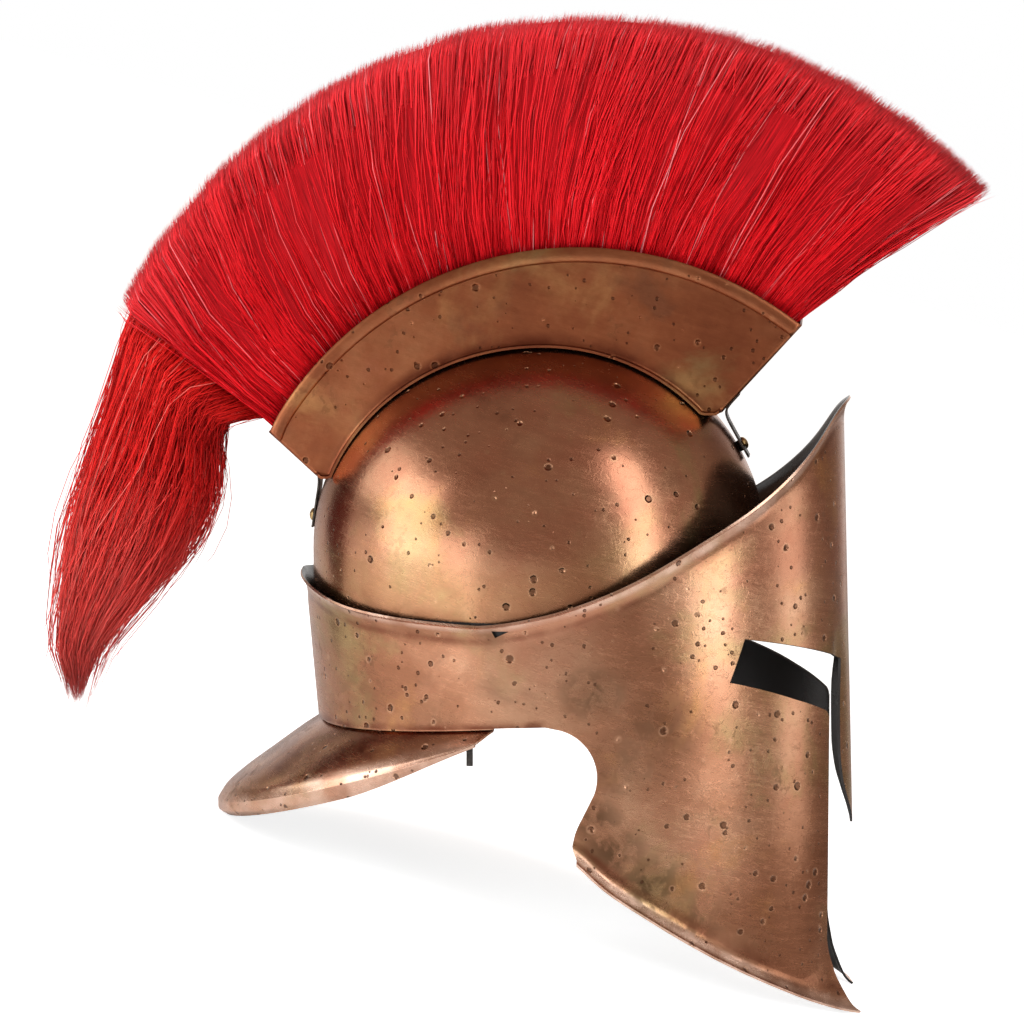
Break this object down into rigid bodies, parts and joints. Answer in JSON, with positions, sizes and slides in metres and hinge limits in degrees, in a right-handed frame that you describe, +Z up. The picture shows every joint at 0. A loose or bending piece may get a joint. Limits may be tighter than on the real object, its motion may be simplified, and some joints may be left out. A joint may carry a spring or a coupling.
{
  "type": "greek helmet with horsehair crest",
  "caption": "Open-faced antique-style Greek helmet: round skull, mask with eye slits and long cheeks, neck guard, and a fan of red horsehair in a raised crest box.",
  "frame": {"origin": "middle of the bounding box's floor side, on the floor that the helmet rests on", "axes": "+Z up, +X to the wearer's left, -Y the way the face looks; the helmet leans back on its cheek tips and the rear edge of its neck guard"},
  "size_m": [0.206, 0.4496, 0.4464],
  "materials": {
    "copper": "sheet steel with an aged, brushed and pitted copper finish, black inside",
    "brass": "dull brass",
    "dark_steel": "blackened steel",
    "hair": "dyed horsehair, satin",
    "tail_hair": "dyed horsehair, satin",
    "leather": "dark lace, matte"
  },
  "bodies": {
    "root": {"skull": "copper", "mask": "copper", "neck_guard": "copper", "crest_box": "copper", "front_bracket": "dark_steel", "rear_bracket": "dark_steel", "front_rivet": "brass", "front_nut": "dark_steel", "rear_screw": "brass", "plume": "hair", "plume_tail": "tail_hair", "lace_left": "leather", "lace_right": "leather"}
  },
  "joints": []
}
